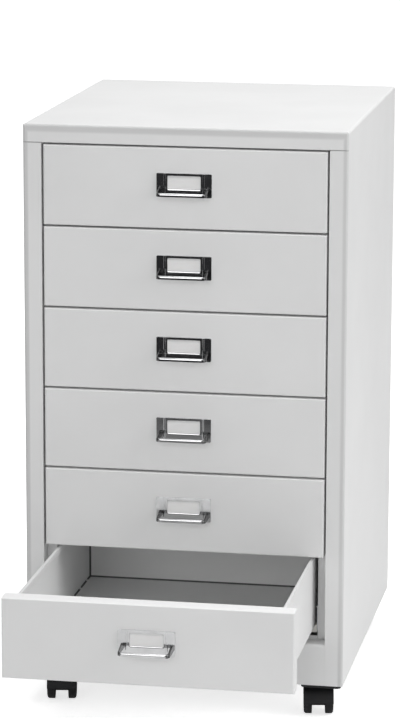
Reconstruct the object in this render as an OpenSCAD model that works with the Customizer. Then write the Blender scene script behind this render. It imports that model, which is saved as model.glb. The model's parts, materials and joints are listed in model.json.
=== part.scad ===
// Rolling drawer cabinet in folded sheet steel: six full-width drawers with label-frame
// pulls, in a one-piece wrap on four twin-wheel castors. The bottom drawer stands open.
// Millimetres. X is to the right seen from the front, the front faces -Y, and Z is up from
// the floor. The origin is on the floor, under the middle of the cabinet with its open drawer.

/* [Body] */
// Width over the side walls
body_w = 400; // [360:1:460]
// Depth from the front face to the back panel
body_d = 460; // [440:1:560]
// Thickness of the sheet in the wrap, base, rail and uprights
wrap_t = 1.0; // [0.8:0.1:1.5]
// Thickness of the back panel
back_t = 0.8; // [0.6:0.1:1.5]
// Outer radius of the bends in the wrap
bend_r = 3; // [2:0.5:5]
// Width of the front face of each side post
post_face_w = 22.8; // [18:0.2:26]
// Height of the front face above the top drawer
top_face_h = 22.4; // [16:0.2:40]
// Height of the front rail under the drawers
rail_h = 52.6; // [40:0.2:80]
// Gap between the bottom drawer and the rail
bottom_reveal = 10; // [4:0.5:14]
// Width of the strip behind the drawer fronts at each side
stop_w = 12; // [10:0.5:14]
// Height of the strip behind the bottom drawer front
rail_lip_h = 5; // [4:0.5:9]
// Gap between the strips beside the drawers and the rail
strip_gap = 1.5; // [0.5:0.5:4]
// Width of the flanges that carry the back panel
back_flange_w = 14; // [10:1:24]
// Inset of the back panel from the outer faces
back_inset = 2; // [1:0.5:5]
// Height of the upturned edges of the base
base_edge_h = 18; // [10:1:30]
// Height of the relief cut at each rear lower corner
relief_h = 8; // [4:1:14]
// Depth of the relief cut at each rear lower corner
relief_d = 5; // [3:1:10]
// Radius of a rivet's shank
rivet_r = 1.6; // [1.2:0.1:2.4]
// Height of a rivet's head over the back panel
rivet_head_h = 1.2; // [0.8:0.1:2]

/* [Uprights and runners] */
// Width of the inner face of an upright
upright_w = 30; // [20:1:40]
// Distance from the rear upright to the back of the body
rear_upright_gap = 10; // [6:1:30]
// Width of the foot that fixes an upright to the side wall
upright_foot_w = 12; // [8:1:20]
// Height of a slot in an upright
slot_h = 12; // [6:1:20]
// Width of a slot in an upright
slot_w = 4; // [3:0.5:6]
// Thickness of a runner
runner_t = 1.2; // [1:0.1:2]
// Height of a runner
runner_h = 31; // [28:1:40]
// Width of the ledge that carries a drawer
ledge_w = 17; // [14:1:24]
// Width of the lip that holds a drawer down
runner_lip_w = 1.8; // [1.4:0.1:2]
// Thickness of a guide block under the tray
guide_t = 4.5; // [3:0.5:6]
// How far a guide block laps over the end of its runner
guide_nose = 2; // [1:0.5:4]
// Length of a guide block at the front of a runner
guide_l = 18; // [12:1:30]
// Height of a guide block's lip beside the tray
guide_lip_h = 2; // [1:0.5:4]
// Length of a drawer shoe
shoe_l = 25; // [15:1:40]
// Distance from a drawer shoe to the back of the tray
shoe_inset = 26.5; // [10:0.5:60]
// Thickness of a drawer shoe beside the tray
shoe_wall_t = 2.4; // [2:0.1:3]

/* [Drawers] */
// Height of a drawer front
front_h = 98.5; // [90:0.5:140]
// Gap between one drawer front and the next
front_gap = 2.5; // [1.5:0.1:4]
// Gap between a drawer front and the posts
side_gap = 2.4; // [1.5:0.1:4]
// Depth of a drawer front
front_d = 22; // [14:0.5:26]
// Thickness of the sheet in a drawer front
front_t = 0.9; // [0.7:0.1:1.5]
// Outer radius of the bends in a drawer front
front_r = 2; // [1:0.5:4]
// Width of the return behind a drawer front
front_return_w = 10; // [6:1:13]
// Thickness of the sheet in a drawer tray
tray_t = 0.8; // [0.6:0.1:1.2]
// Length of a drawer tray behind its front
tray_l = 404; // [380:1:405]
// Width of the folded rim on the tray sides
rim_w = 4; // [3:0.5:8]
// Depth of the folded rim on the tray sides
rim_h = 6; // [4:0.5:12]
// Drop from the top of a drawer front to the tray rim
rim_drop = 2; // [1:0.5:8]
// Height of the tray floor above the bottom of a drawer front
floor_lift = 7; // [6.5:0.5:16]
// Drop from the tray rim to the top of the tray's back wall
back_drop = 14; // [4:1:40]
// How far the bottom drawer stands open
drawer_out = 235; // [0:1:330]

/* [Pulls] */
// Width of the label frame
pull_w = 68; // [50:1:90]
// Height of the label frame
pull_h = 29.5; // [24:0.5:40]
// How far the label frame stands off the drawer front
pull_d = 2; // [1.6:0.1:4]
// Thickness of the sheet in the pull
pull_t = 0.9; // [0.7:0.1:1.2]
// Corner radius of the label frame and its window
pull_r = 1.5; // [1:0.5:3]
// Width of the label window
window_w = 42; // [30:1:50]
// Height of the label window
window_h = 16; // [10:0.5:18]
// Height of the frame's face above the window
window_top = 3.3; // [2:0.1:6]
// Height of the pull's centre above the centre of the drawer front
pull_lift = 4; // [-10:1:20]
// How far the grip reaches from the drawer front
grip_reach = 24; // [18:0.5:32]
// Outer width of the grip
grip_w = 62; // [45:1:64]
// Height of the grip where the fingers hold it
grip_h = 4.5; // [3:0.5:8]
// Height of the grip arms at the frame
grip_root_h = 10; // [6:0.5:14]
// Drop of the grip from the frame's centre to the middle of its bar
grip_drop = 8; // [4:0.5:10]
// Rise of the grip arms from the bar to the frame
grip_rise = 2; // [0:0.5:3]
// Outer radius of the bends in the grip
grip_r = 6; // [3:0.5:9]
// Thickness of the grip strip
grip_t = 1.6; // [1:0.1:3]
// Width of the label card
card_w = 58; // [46:1:62]
// Height of the label card
card_h = 23; // [20:0.5:26]
// Thickness of the label card
card_t = 0.4; // [0.2:0.1:0.6]

/* [Castors] */
// Height from the floor to the underside of the body
castor_h = 45; // [44:0.5:60]
// Diameter of a castor wheel
wheel_dia = 38; // [30:1:42]
// Width of one castor wheel
wheel_w = 10; // [9:0.5:16]
// Width over both castor wheels
castor_w = 36.8; // [34:0.2:46]
// Distance from the swivel axis to the wheel axle
trail = 11; // [8:1:16]
// Distance from the side of the body to a front castor's swivel axis
castor_inset_x = 36; // [30:1:60]
// Distance from the side of the body to a rear castor's swivel axis
rear_castor_inset_x = 41; // [30:1:60]
// Distance from the front or back of the body to a swivel axis
castor_inset_y = 42; // [36:1:70]
// Turn of the castors about their stems, from facing straight ahead
castor_turn = 10; // [-180:5:180]
// Thickness of a mounting plate
plate_t = 4; // [3:0.5:6]
// Width of a mounting plate
plate_w = 50; // [46:1:70]
// Length of a mounting plate
plate_l = 60; // [54:1:90]
// Distance from the faces of the body to a mounting plate
plate_inset = 3; // [1:0.5:5]
// Corner radius of a mounting plate
plate_r = 6; // [2:1:10]
// Diameter of the castor stem
stem_dia = 10; // [8:0.5:12]
// Length of the castor stem
stem_l = 24; // [18:1:32]
// Wall of the socket round the stem
socket_wall = 3; // [2:0.5:5]
// Radius of the hood's neck round the stem
neck_r = 10; // [8:0.5:12]
// Diameter of the castor axle
axle_dia = 6; // [4:0.5:8]
// Distance from the outer face of a wheel to the end of the axle
axle_inset = 1.5; // [1:0.5:3]
// Thickness of the castor hood over the wheels
hood_t = 1.8; // [1.4:0.1:3]
// Radius of the castor body round the axle
hub_r = 9; // [7:0.5:11]

/* [Clearances] */
// Seam between two sheets that butt together
seam = 0.3; // [0.2:0.1:0.6]
// Gap between parts that slide
slide_gap = 0.3; // [0.2:0.1:0.6]
// Gap at the side of a part that slides
side_play = 0.5; // [0.3:0.1:0.8]
// Gap between a drawer front and the strips behind it
stop_gap = 0.5; // [0.3:0.1:1]
// Radial gap of a pin that turns in its hole
turn_gap = 0.05; // [0.02:0.01:0.08]
// Gap between the wheels and the hood
wheel_gap = 0.8; // [0.5:0.1:1.5]
// Gap between the hood and the mounting plate
hood_gap = 0.4; // [0.3:0.1:1]
// Gap between the end of a castor stem and its socket
stem_gap = 1; // [0.5:0.5:4]

/* [Hidden] */
$fn = 48;
eps = 0.01;

DRAWER_PARTS = ["front", "tray", "pull", "card", "shoes"];
CASTOR_PARTS = ["plate", "hood", "axle", "wheel_left", "wheel_right"];
CORNERS = ["front_left", "front_right", "rear_left", "rear_right"];
drawer_count = 6;
BODY_PARTS = [
    "outer_wrap", "back_panel", "base_pan", "front_rail", "left_uprights", "right_uprights",
    "left_runners", "right_runners", "runner_guides", "back_rivets"
];

WHITE = [0.86, 0.86, 0.86];
CHROME = [0.72, 0.73, 0.74];
NYLON = [0.9, 0.89, 0.85];
PAPER = [0.95, 0.95, 0.93];
BLACK = [0.06, 0.06, 0.065];
STEEL = [0.6, 0.61, 0.63];

// Levels above the floor
body_z = castor_h;
rail_top_z = body_z + rail_h;
lowest_front_z = rail_top_z + bottom_reveal;
front_pitch = front_h + front_gap;
top_return_z = lowest_front_z + drawer_count * front_pitch;
body_top_z = top_return_z + top_face_h;

// The body's frame has its front face at y = 0; the model's origin is mid-way back
front_y = (drawer_out + grip_reach - body_d - rivet_head_h) / 2;

half_w = body_w / 2;
inner_half_w = half_w - wrap_t;
opening_half_w = half_w - post_face_w;
front_half_w = opening_half_w - side_gap;
stop_y = front_d + stop_gap;
stop_inner_x = opening_half_w - stop_w;
wrap_d = body_d - back_t;
base_front_y = stop_y + wrap_t + seam;

// Places of the rivets, across and up
rivet_rows = 6;
rivet_edge = back_flange_w / 2 + 1;
rivet_low_z = body_z + 40;
rivet_high_z = body_top_z - rivet_edge;
rivet_pitch = (rivet_high_z - rivet_low_z) / (rivet_rows - 1);
rivet_places = concat(
    [for (s = [-1, 1], k = [0:rivet_rows - 1])
        [s * (half_w - rivet_edge), rivet_low_z + k * rivet_pitch]],
    [for (s = [-1, 0, 1]) [s * half_w / 2, rivet_high_z]]
);

// Runners stand on the uprights' inner faces, and the tray runs between them
runner_web_x = stop_inner_x - runner_t;
tray_half_w = runner_web_x - side_play - shoe_wall_t;
upright_front_y = stop_y + wrap_t;
rear_upright_y = wrap_d - rear_upright_gap - upright_w;
runner_front_y = upright_front_y + guide_nose;
runner_back_y = rear_upright_y + upright_w;
ledge_z = floor_lift - slide_gap - guide_t - runner_t;
ledge_top_z = ledge_z + runner_t;
guide_back_y = runner_front_y + guide_l;
shoe_front_y = front_d + tray_l - shoe_inset - shoe_l;
rim_z = front_h - rim_drop;

// Bottom edge of the label window, from the middle of the label frame
window_z = pull_h / 2 - window_top - window_h;

// Castors
wheel_r = wheel_dia / 2;
wheel_inner_x = castor_w / 2 - wheel_w;
hood_top_z = castor_h - plate_t - hood_gap;
hood_inner_r = wheel_r + wheel_gap;
hood_outer_r = hood_inner_r + hood_t;
socket_r = stem_dia / 2 + turn_gap + socket_wall;
socket_top_z = castor_h - plate_t + stem_l + stem_gap + socket_wall;

function open_by(n) = n == drawer_count ? drawer_out : 0;
function drawer_z(n) = lowest_front_z + (drawer_count - n) * front_pitch;

// Shapes used by several parts

module block(lo, hi) {
    translate(lo) cube(hi - lo);
}

module both_sides() {
    children();
    mirror([1, 0, 0]) children();
}

// Extrudes a plan of x and y up from z0
module along_z(z0, length) {
    translate([0, 0, z0]) linear_extrude(length) children();
}

// Extrudes an elevation of x and z back from y0
module along_y(y0, length) {
    translate([0, y0 + length, 0]) rotate([90, 0, 0]) linear_extrude(length) children();
}

// Extrudes a side view of y and z across from x0
module along_x(x0, length) {
    translate([x0, 0, 0]) rotate([90, 0, 90]) linear_extrude(length) children();
}

// A plan of half width w and depth d whose two corners at the front have radius r
module round_front(w, d, r) {
    translate([-w, r]) square([2 * w, d - r]);
    translate([r - w, 0]) square([2 * (w - r), d]);
    for (s = [-1, 1]) translate([s * (w - r), r]) circle(r);
}

// A rectangle from lo to hi with four round corners
module round_rect(lo, hi, r) {
    translate([lo.x + r, lo.y]) square([hi.x - lo.x - 2 * r, hi.y - lo.y]);
    translate([lo.x, lo.y + r]) square([hi.x - lo.x, hi.y - lo.y - 2 * r]);
    for (x = [lo.x + r, hi.x - r], y = [lo.y + r, hi.y - r]) translate([x, y]) circle(r);
}

// A rectangle from lo to hi whose upper corner at the front has radius r
module round_upper_front(lo, hi, r) {
    translate([lo.x + r, lo.y]) square([hi.x - lo.x - r, hi.y - lo.y]);
    translate(lo) square([hi.x - lo.x, hi.y - lo.y - r]);
    translate([lo.x + r, hi.y - r]) circle(r);
}

// A ring sector: the quarter of a ring that fills the square of side r at the angle turn
module quarter_ring(r, t, turn) {
    rotate(turn) intersection() {
        difference() {
            circle(r);
            circle(r - t);
        }
        square(r);
    }
}

// Places what is drawn with its front at y = 0 in the model's frame
module in_body() {
    translate([0, front_y, 0]) children();
}

// Places a drawer's parts, which are drawn closed and with z from the bottom of its front
module in_drawer(n) {
    in_body() translate([0, -open_by(n), drawer_z(n)]) children();
}

// Carcass

// The solid that the wrap's outer faces enclose, smaller by inset on every closed side
module wrap_body(inset) {
    r = bend_r - inset;
    w = half_w - inset;
    intersection() {
        along_z(body_z - eps, body_top_z - body_z - inset + eps)
            translate([0, inset]) round_front(w, wrap_d - inset, r);
        along_y(inset, wrap_d - inset)
            translate([0, body_top_z - inset]) mirror([0, 1])
                round_front(w, body_top_z - body_z, r);
        along_x(-half_w, body_w)
            round_upper_front([inset, body_z - eps], [wrap_d, body_top_z - inset], r);
    }
}

module wrap_shell() {
    difference() {
        wrap_body(0);
        difference() {
            wrap_body(wrap_t);
            // flanges round the back, which carry the back panel
            difference() {
                block([-half_w, wrap_d - wrap_t, body_z], [half_w, body_d, body_top_z]);
                block([back_flange_w - half_w, wrap_d - 2 * wrap_t, body_z - 1],
                      [half_w - back_flange_w, body_d + 1, body_top_z - back_flange_w]);
            }
        }
        block([-half_w, -1, 0], [half_w, body_d, body_z]);
        // front opening, down past the rail
        block([-opening_half_w, -1, body_z - 1], [opening_half_w, bend_r + 1, top_return_z]);
        // butt seams between the top's front face and the posts
        both_sides()
            block([opening_half_w - 1, -1, top_return_z - seam],
                  [half_w - bend_r, wrap_t + eps, top_return_z]);
        // relief cuts at the rear lower corners
        both_sides()
            block([inner_half_w - back_flange_w, wrap_d - relief_d, body_z - 1],
                  [half_w + 1, wrap_d + 1, body_z + relief_h]);
    }
}

module outer_wrap() {
    color(WHITE) in_body() {
        wrap_shell();
        both_sides() {
            block([opening_half_w, wrap_t / 2, body_z],
                  [opening_half_w + wrap_t, stop_y + wrap_t, top_return_z - seam]);
            block([stop_inner_x, stop_y, rail_top_z + strip_gap],
                  [opening_half_w + wrap_t, stop_y + wrap_t, top_return_z - seam]);
        }
        block([-opening_half_w - wrap_t, wrap_t / 2, top_return_z],
              [opening_half_w + wrap_t, stop_y + wrap_t, top_return_z + wrap_t]);
        block([-opening_half_w - wrap_t, stop_y, top_return_z],
              [opening_half_w + wrap_t, stop_y + wrap_t, top_return_z + top_face_h / 2]);
    }
}

module back_panel() {
    color(WHITE) in_body() difference() {
        block([back_inset - half_w, wrap_d, body_z + back_inset],
              [half_w - back_inset, body_d, body_top_z - back_inset]);
        for (at = rivet_places) along_y(wrap_d - 1, back_t + 2)
            translate(at) circle(rivet_r);
    }
}

// Pop rivets with low domed heads, which stand on the back panel
module back_rivets() {
    head_r = 2 * rivet_r;
    color(STEEL) in_body() for (at = rivet_places) translate([at.x, body_d, at.y])
        rotate([-90, 0, 0]) rotate_extrude() {
            translate([0, -back_t]) square([rivet_r - turn_gap, back_t + eps]);
            intersection() {
                translate([0, rivet_head_h - 2 * head_r]) circle(2 * head_r);
                square([head_r, rivet_head_h]);
            }
        }
}

module base_pan() {
    w = inner_half_w - seam;
    back_y = wrap_d - wrap_t - seam;
    color(WHITE) in_body() difference() {
        union() {
            block([-w, base_front_y, body_z], [w, back_y, body_z + wrap_t]);
            both_sides() block([w - wrap_t, base_front_y + upright_w + 2 * seam + wrap_t, body_z],
                               [w, rear_upright_y - seam, body_z + base_edge_h]);
            block([stop_inner_x - w, back_y - wrap_t, body_z],
                  [w - stop_inner_x, back_y, body_z + base_edge_h]);
        }
        for (corner = CORNERS) translate(swivel_at(corner))
            translate([0, 0, body_z - 1]) cylinder(r = socket_r + seam, h = wrap_t + 2);
    }
}

// A rail bent from one strip: bottom flange, face, top flange and the strip behind the drawer
module front_rail() {
    w = opening_half_w;
    lip_w = stop_inner_x - seam;
    color(WHITE) in_body() {
        block([-w, wrap_t / 2, body_z], [w, stop_y + wrap_t, body_z + wrap_t]);
        along_x(-w, 2 * w) difference() {
            round_upper_front([0, body_z], [bend_r + eps, rail_top_z], bend_r);
            round_upper_front([wrap_t, body_z - 1], [2 * bend_r, rail_top_z - wrap_t], bend_r - wrap_t);
        }
        block([-w, bend_r, rail_top_z - wrap_t], [w, stop_y + wrap_t, rail_top_z]);
        block([-lip_w, stop_y, rail_top_z - wrap_t],
              [lip_w, stop_y + wrap_t, rail_top_z + rail_lip_h]);
    }
}

// Plan of an upright: an inner face with an edge flange, a wall out to the side, and a foot
module upright_plan(front_y0, flange_w) {
    x0 = stop_inner_x;
    x1 = inner_half_w - seam;
    translate([x0, front_y0]) square([wrap_t, upright_w]);
    translate([x0, front_y0]) square([flange_w, wrap_t]);
    translate([x0, front_y0 + upright_w - wrap_t]) square([x1 - x0, wrap_t]);
    translate([x1 - wrap_t, front_y0 + upright_w - wrap_t - upright_foot_w])
        square([wrap_t, upright_foot_w + wrap_t]);
}

module uprights() {
    bottom_z = socket_top_z + seam;
    height = body_top_z - bend_r - seam - bottom_z;
    for (y0 = [upright_front_y, rear_upright_y]) difference() {
        along_z(bottom_z, height) upright_plan(y0, y0 == rear_upright_y
            ? inner_half_w - seam - stop_inner_x : stop_w - wrap_t);
        for (n = [1:drawer_count], dz = [1, 3])
            block([stop_inner_x - 1, y0 + (upright_w - slot_w) / 2, drawer_z(n) + dz * front_h / 4 + slot_h],
                  [stop_inner_x + wrap_t + 1, y0 + (upright_w + slot_w) / 2,
                   drawer_z(n) + dz * front_h / 4 + 2 * slot_h]);
    }
}

module left_uprights() {
    color(WHITE) in_body() mirror([1, 0, 0]) uprights();
}

module right_uprights() {
    color(WHITE) in_body() uprights();
}

// End view of a runner: ledge, web and hold-down lip, with z from the drawer's bottom edge
module runner_end() {
    top_z = ledge_z + runner_h;
    translate([runner_web_x, ledge_z]) square([runner_t, runner_h]);
    translate([stop_inner_x - ledge_w, ledge_z]) square([ledge_w, runner_t]);
    translate([runner_web_x - runner_lip_w, top_z - runner_t]) square([runner_lip_w + eps, runner_t]);
}

module runners() {
    for (n = [1:drawer_count])
        translate([0, 0, drawer_z(n)]) along_y(runner_front_y, runner_back_y - runner_front_y)
            runner_end();
}

module left_runners() {
    color(STEEL) in_body() mirror([1, 0, 0]) runners();
}

module right_runners() {
    color(STEEL) in_body() runners();
}

// Nylon blocks on the front ends of the runners, which the trays slide over
module guide() {
    x0 = stop_inner_x - ledge_w;
    top_z = floor_lift - slide_gap;
    block([x0, runner_front_y, ledge_top_z], [runner_web_x, guide_back_y, top_z]);
    block([x0, upright_front_y, ledge_z - guide_nose], [runner_web_x, runner_front_y, top_z]);
    block([tray_half_w + slide_gap, upright_front_y, top_z - eps],
          [runner_web_x, guide_back_y, top_z + guide_lip_h]);
}

module runner_guides() {
    color(NYLON) in_body() both_sides()
        for (n = [1:drawer_count]) translate([0, 0, drawer_z(n)]) guide();
}

// Drawers

// The solid that a drawer front's outer faces enclose, smaller by inset at face and edges
module front_body(inset) {
    r = front_r - inset;
    w = front_half_w - inset;
    intersection() {
        along_z(inset, front_h - 2 * inset)
            translate([0, inset]) round_front(w, front_d - inset, r);
        along_x(-front_half_w, 2 * front_half_w) {
            translate([inset, inset + r]) square([front_d - inset, front_h - 2 * inset - 2 * r]);
            translate([inset + r, inset]) square([front_d - inset - r, front_h - 2 * inset]);
            for (z = [inset + r, front_h - inset - r]) translate([inset + r, z]) circle(r);
        }
    }
}

module drawer_front(n) {
    color(WHITE) in_drawer(n) difference() {
        front_body(0);
        difference() {
            front_body(front_t);
            // return round the back of the front
            difference() {
                block([-half_w, front_d - front_t, -1], [half_w, front_d + 1, front_h + 1]);
                block([front_return_w - front_half_w, 0, front_return_w],
                      [front_half_w - front_return_w, front_d + 2, front_h - front_return_w]);
            }
        }
    }
}

// End view of the tray: floor, side walls and the rims folded in over them
module tray_end(half) {
    translate([-half, floor_lift]) square([2 * half, tray_t]);
    for (s = [0, 1]) mirror([s, 0]) {
        translate([half - tray_t, floor_lift]) square([tray_t, rim_z - floor_lift]);
        translate([half - rim_w, rim_z - tray_t]) square([rim_w, tray_t]);
        translate([half - rim_w, rim_z - rim_h]) square([tray_t, rim_h]);
    }
}

module drawer_tray(n) {
    w = tray_half_w;
    back_top_z = rim_z - back_drop;
    color(WHITE) in_drawer(n) {
        along_y(front_d, tray_l) tray_end(w);
        block([-w, front_d, floor_lift], [w, front_d + tray_t, rim_z]);
        block([-w, front_d + tray_l - tray_t, floor_lift], [w, front_d + tray_l, back_top_z]);
        block([-w, front_d + tray_l - rim_w, back_top_z - tray_t], [w, front_d + tray_l, back_top_z]);
    }
}

// Nylon shoes under the rear corners of the tray, held between the runner's ledge and lip
module drawer_shoes(n) {
    lip_z = ledge_z + runner_h - runner_t;
    color(NYLON) in_drawer(n) both_sides() {
        block([tray_half_w, shoe_front_y, ledge_top_z + slide_gap],
              [runner_web_x - side_play, shoe_front_y + shoe_l, lip_z - slide_gap]);
        block([stop_inner_x - ledge_w, shoe_front_y, ledge_top_z + slide_gap],
              [tray_half_w + eps, shoe_front_y + shoe_l, floor_lift]);
    }
}

// Pulls, drawn with the origin on the drawer front at the middle of the label frame

module in_pull(n) {
    in_drawer(n) translate([0, 0, front_h / 2 + pull_lift]) children();
}

// Plan of the grip: a strip bent round two corners, with its arms on the label frame
module grip_plan() {
    x = grip_w / 2;
    for (s = [0, 1]) mirror([s, 0]) {
        translate([x - grip_t, grip_r - grip_reach]) square([grip_t, grip_reach - grip_r - pull_d + eps]);
        translate([x - grip_r, grip_r - grip_reach]) quarter_ring(grip_r, grip_t, -90);
    }
    translate([grip_r - x, -grip_reach]) square([2 * (x - grip_r), grip_t]);
}

// Side view of the grip: arms that narrow from the frame to the bar
module grip_side() {
    z0 = -grip_drop;
    bar_y = grip_t + 1 - grip_reach;
    polygon([
        [eps - pull_d, z0 + grip_rise - grip_root_h / 2],
        [bar_y, z0 - grip_h / 2],
        [-grip_reach - 1, z0 - grip_h / 2],
        [-grip_reach - 1, z0 + grip_h / 2],
        [bar_y, z0 + grip_h / 2],
        [eps - pull_d, z0 + grip_rise + grip_root_h / 2]
    ]);
}

module drawer_pull(n) {
    w = pull_w / 2;
    h = pull_h / 2;
    color(CHROME) in_pull(n) {
        difference() {
            along_y(-pull_d, pull_d) round_rect([-w, -h], [w, h], pull_r);
            along_y(pull_t - pull_d, pull_d)
                translate([pull_t - w, pull_t - h]) square([2 * (w - pull_t), 2 * (h - pull_t)]);
            along_y(-pull_d - 1, pull_d + 2)
                round_rect([-window_w / 2, window_z], [window_w / 2, window_z + window_h], pull_r);
        }
        intersection() {
            along_z(-pull_h, 2 * pull_h) grip_plan();
            along_x(-pull_w, 2 * pull_w) grip_side();
        }
    }
}

module drawer_card(n) {
    low_z = pull_t - pull_h / 2;
    color(PAPER) in_pull(n)
        block([-card_w / 2, -card_t, low_z], [card_w / 2, 0, low_z + card_h]);
}

// Castors

// Where a corner's swivel axis stands, in the body's frame
function swivel_at(corner) =
    let (rear = corner == "rear_left" || corner == "rear_right",
         side = corner == "front_left" || corner == "rear_left" ? -1 : 1)
    [side * (half_w - (rear ? rear_castor_inset_x : castor_inset_x)),
     rear ? body_d - castor_inset_y : castor_inset_y, 0];

module in_castor(corner) {
    in_body() translate(swivel_at(corner)) rotate(castor_turn) children();
}

// Mounting plate in the corner under the base, with the socket for the stem
module castor_plate(corner) {
    at = swivel_at(corner);
    side = sign(at.x);
    near_front = at.y < body_d / 2;
    x_out = half_w - plate_inset;
    y0 = near_front ? plate_inset : body_d - plate_inset - plate_l;
    z0 = castor_h - plate_t;
    color(BLACK) in_body() mirror([side < 0 ? 1 : 0, 0, 0]) difference() {
        union() {
            along_z(z0, plate_t)
                round_rect([x_out - plate_w, y0], [x_out, y0 + plate_l], plate_r);
            translate([abs(at.x), at.y, z0]) cylinder(r = socket_r, h = socket_top_z - z0);
        }
        translate([abs(at.x), at.y, z0 - 1])
            cylinder(r = stem_dia / 2 + turn_gap, h = socket_top_z - socket_wall - z0 + 1);
    }
}

// Side view of the hood's arch over the wheels, with y from the swivel axis
module hood_arch(r) {
    intersection() {
        translate([-trail, wheel_r]) circle(r);
        translate([-trail - 2 * wheel_r, wheel_r - 1]) square([4 * wheel_r, 2 * wheel_r]);
    }
}

// Body between the wheels, the arch over them and the stem that turns in the socket
module castor_hood(corner) {
    core_half = wheel_inner_x - wheel_gap / 2;
    hood_half = castor_w / 2;
    color(BLACK) in_castor(corner) difference() {
        union() {
            along_x(-hood_half, 2 * hood_half) difference() {
                hood_arch(hood_outer_r);
                translate([-trail, wheel_r]) circle(hood_inner_r);
            }
            along_x(-core_half, 2 * core_half) {
                hood_arch(hood_outer_r - eps);
                translate([-trail, wheel_r]) circle(hub_r);
            }
            translate([0, 0, wheel_r]) intersection() {
                cylinder(r = neck_r, h = hood_top_z - wheel_r);
                block([-core_half, -neck_r, 0], [core_half, neck_r, hood_top_z]);
            }
            difference() {
                translate([0, 0, wheel_r]) cylinder(r = neck_r, h = hood_top_z - wheel_r);
                along_x(-hood_half, 2 * hood_half)
                    translate([-trail, wheel_r]) circle(hood_inner_r);
            }
            cylinder_at(stem_dia / 2, hood_top_z - eps, castor_h - plate_t + stem_l);
        }
        translate([-castor_w, -trail, wheel_r]) rotate([0, 90, 0])
            cylinder(r = axle_dia / 2 + turn_gap / 2, h = 2 * castor_w);
    }
}

module cylinder_at(r, z0, z1) {
    translate([0, 0, z0]) cylinder(r = r, h = z1 - z0);
}

module castor_axle(corner) {
    half = castor_w / 2 - axle_inset;
    color(STEEL) in_castor(corner) translate([-half, -trail, wheel_r]) rotate([0, 90, 0])
        cylinder(r = axle_dia / 2, h = 2 * half);
}

// Half section of a wheel, with x from its axis and y out from its inner face
module wheel_section() {
    bore_r = axle_dia / 2 + turn_gap;
    hub_w = 3.5;
    rim_t = 3.2;
    tread_r = 3;
    web_t = 2.5;
    web_inset = 0.5;
    // tread with its outer edge rounded
    translate([wheel_r - rim_t, 0]) square([rim_t, wheel_w - tread_r]);
    translate([wheel_r - tread_r, wheel_w - tread_r]) circle(tread_r);
    // outer disc
    translate([bore_r, wheel_w - web_t - web_inset]) square([wheel_r - tread_r - bore_r, web_t]);
    // hub
    translate([bore_r, wheel_gap / 2]) square([hub_w, wheel_w - 2 * web_inset - wheel_gap / 2]);
}

// A wheel turned about X, with its outer face away from the castor's middle
module castor_wheel(corner, side) {
    color(BLACK) in_castor(corner) translate([0, -trail, wheel_r])
        mirror([side < 0 ? 1 : 0, 0, 0]) translate([wheel_inner_x, 0, 0])
            rotate([90, 0, 90]) rotate_extrude() wheel_section();
}

module drawer_part(n, part) {
    if (part == "front") drawer_front(n);
    if (part == "tray") drawer_tray(n);
    if (part == "pull") drawer_pull(n);
    if (part == "card") drawer_card(n);
    if (part == "shoes") drawer_shoes(n);
}

module castor_part(corner, part) {
    if (part == "plate") castor_plate(corner);
    if (part == "hood") castor_hood(corner);
    if (part == "axle") castor_axle(corner);
    if (part == "wheel_left") castor_wheel(corner, -1);
    if (part == "wheel_right") castor_wheel(corner, 1);
}

outer_wrap();
back_panel();
base_pan();
front_rail();
left_uprights();
right_uprights();
left_runners();
right_runners();
runner_guides();
back_rivets();
for (n = [1:drawer_count], part = DRAWER_PARTS)
    drawer_part(n, part);
for (corner = CORNERS, part = CASTOR_PARTS)
    castor_part(corner, part);
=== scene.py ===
"""Rolling drawer cabinet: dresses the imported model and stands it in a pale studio."""
import json
import logging
import math
from dataclasses import dataclass
from enum import Enum

import bmesh
import bpy
from mathutils import Matrix, Vector


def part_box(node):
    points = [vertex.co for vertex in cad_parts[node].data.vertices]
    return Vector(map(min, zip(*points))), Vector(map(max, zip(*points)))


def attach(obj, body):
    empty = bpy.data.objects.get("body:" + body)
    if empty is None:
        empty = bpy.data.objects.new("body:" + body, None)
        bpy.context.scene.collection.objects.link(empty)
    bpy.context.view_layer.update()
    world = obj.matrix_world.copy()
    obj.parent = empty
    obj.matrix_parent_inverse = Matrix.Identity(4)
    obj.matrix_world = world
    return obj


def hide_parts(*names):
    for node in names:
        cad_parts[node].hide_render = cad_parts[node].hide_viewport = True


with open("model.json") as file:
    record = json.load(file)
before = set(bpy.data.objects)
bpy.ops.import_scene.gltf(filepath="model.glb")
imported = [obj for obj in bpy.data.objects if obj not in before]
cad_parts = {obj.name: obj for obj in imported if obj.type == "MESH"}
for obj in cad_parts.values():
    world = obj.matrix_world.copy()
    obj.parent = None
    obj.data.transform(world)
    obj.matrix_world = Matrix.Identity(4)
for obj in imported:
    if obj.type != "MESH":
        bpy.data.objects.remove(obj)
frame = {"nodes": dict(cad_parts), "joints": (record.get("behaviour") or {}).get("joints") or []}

LOG = logging.getLogger("drawer_cabinet")
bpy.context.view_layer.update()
MM = 0.001
DRAWERS = 6
CAD_MERGE = 1e-6
SHELL_MERGE = 1e-7

Point = tuple[float, float, float]
Colour = tuple[float, float, float]
Span = tuple[float, float]
Outline = list[tuple[float, float]]
Loop = list[Point]

WHITE: Colour = (1.0, 1.0, 1.0)
PAINT: Colour = (0.84, 0.842, 0.84)
PAINT_ROUGHNESS = 0.4
BLACK: Colour = (0.011, 0.011, 0.012)
BLACK_SHINE = 0.3


class Corner(Enum):
    """The four corners that carry a castor."""

    FRONT_LEFT = "front_left"
    FRONT_RIGHT = "front_right"
    REAR_LEFT = "rear_left"
    REAR_RIGHT = "rear_right"


class Side(Enum):
    """Left and right, with the way each one faces along X."""

    LEFT = -1
    RIGHT = 1

    @property
    def word(self) -> str:
        """The side's name as the nodes spell it."""
        return self.name.lower()


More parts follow.
